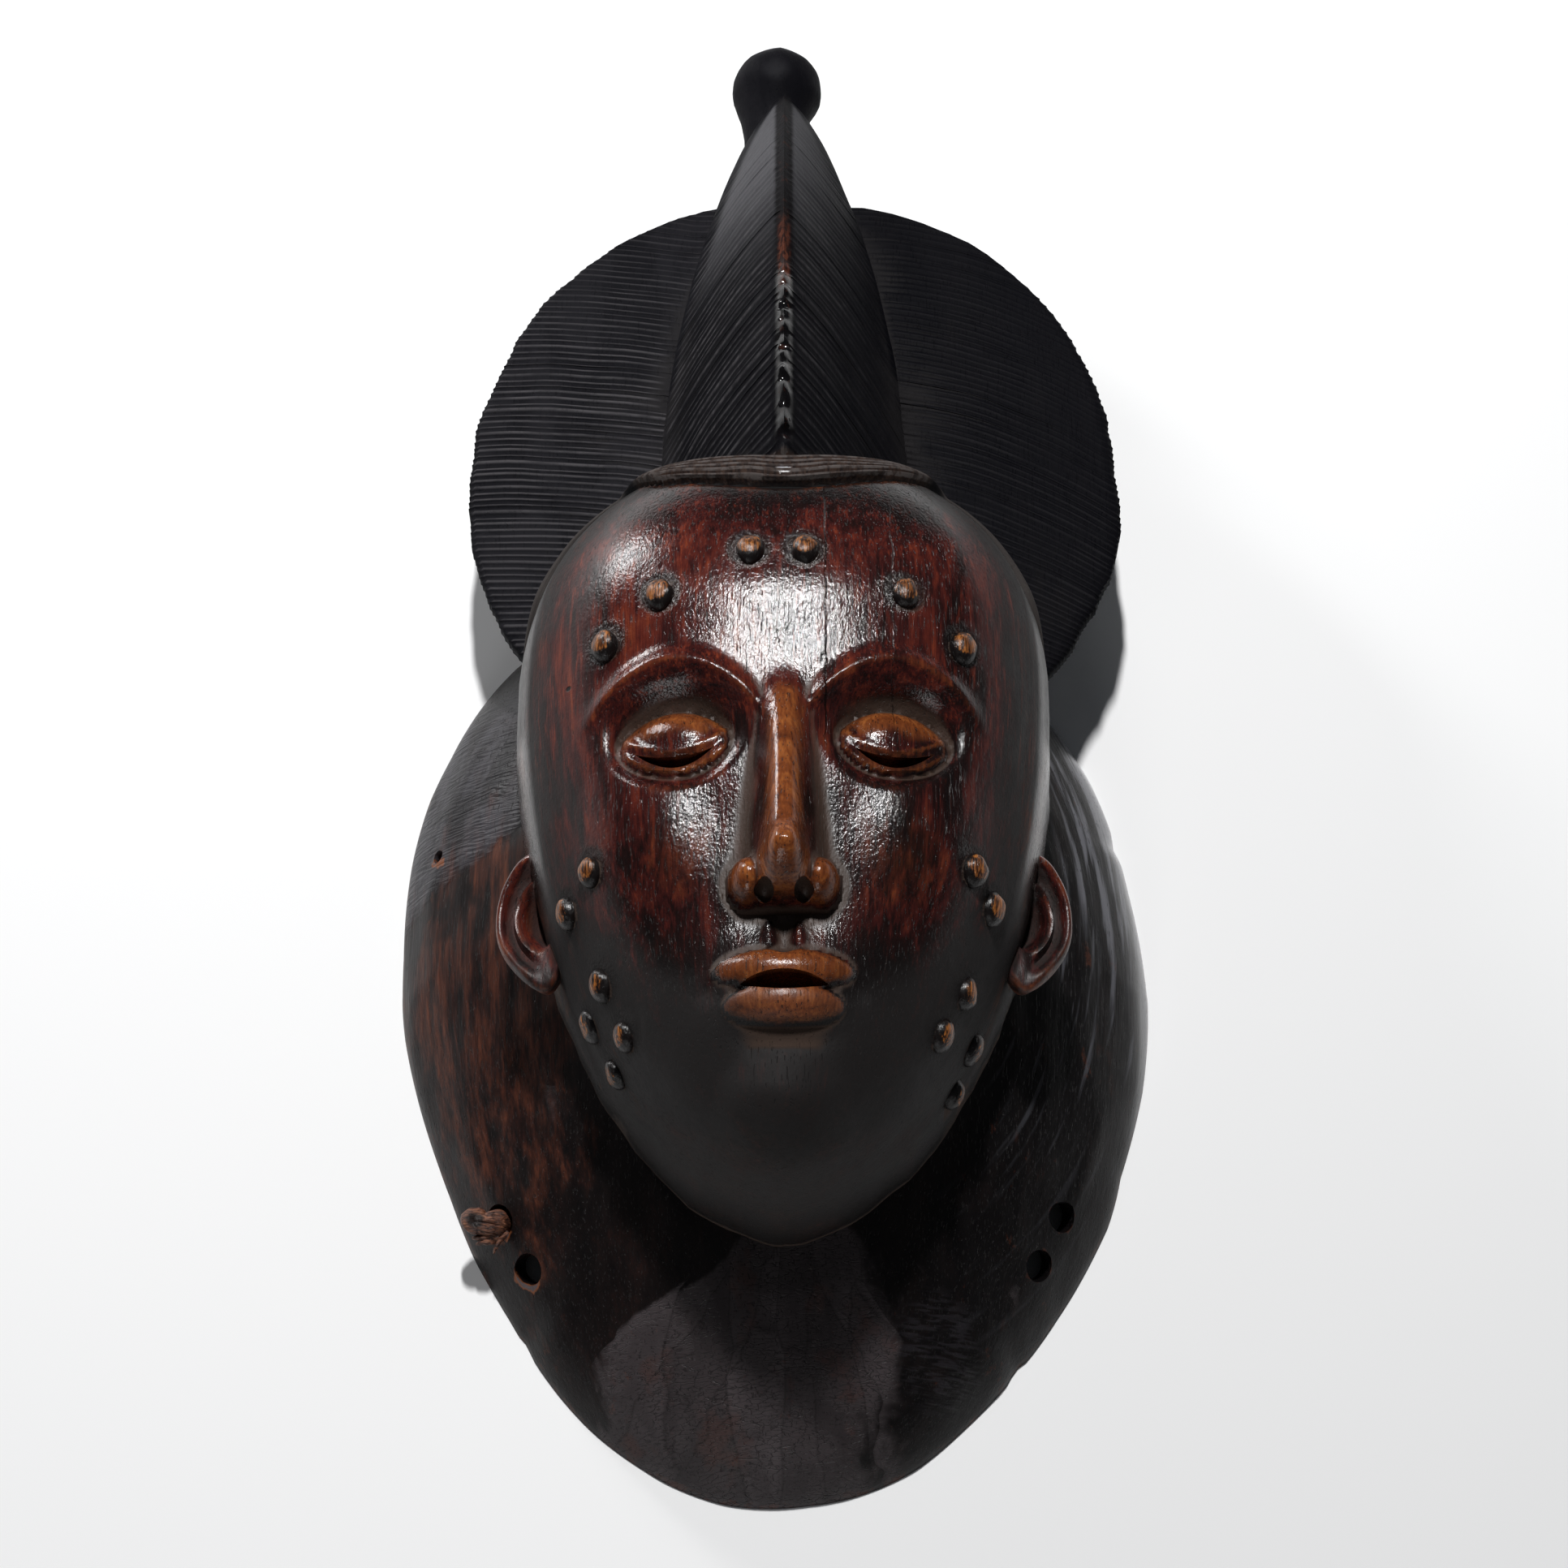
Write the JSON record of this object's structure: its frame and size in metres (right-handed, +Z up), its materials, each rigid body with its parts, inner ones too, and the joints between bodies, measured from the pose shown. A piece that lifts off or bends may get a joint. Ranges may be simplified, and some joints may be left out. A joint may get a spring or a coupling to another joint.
{
  "type": "carved wooden face mask",
  "caption": "Carved wooden face mask with a keel-shaped crest, a ribbed hair disc behind it and a broad domed collar, hollow at the back, lying on its rim.",
  "frame": {"origin": "on the floor, under the middle of the mask's length and width, as it lies on its back", "axes": "+X to the right of someone looking down on the face, +Y from the chin towards the crest and the knob, +Z up out of the face"},
  "size_m": [0.244, 0.5062, 0.1602],
  "materials": {
    "patinated_wood": "hardwood under a dark reddish-brown to black patina, glossy on the face, satin on the hair, dull and dusty in the recesses",
    "raw_wood": "bare splintered orange-brown wood, dull"
  },
  "bodies": {
    "root": {"mask": "patinated_wood", "costume_peg": "raw_wood"}
  },
  "joints": []
}
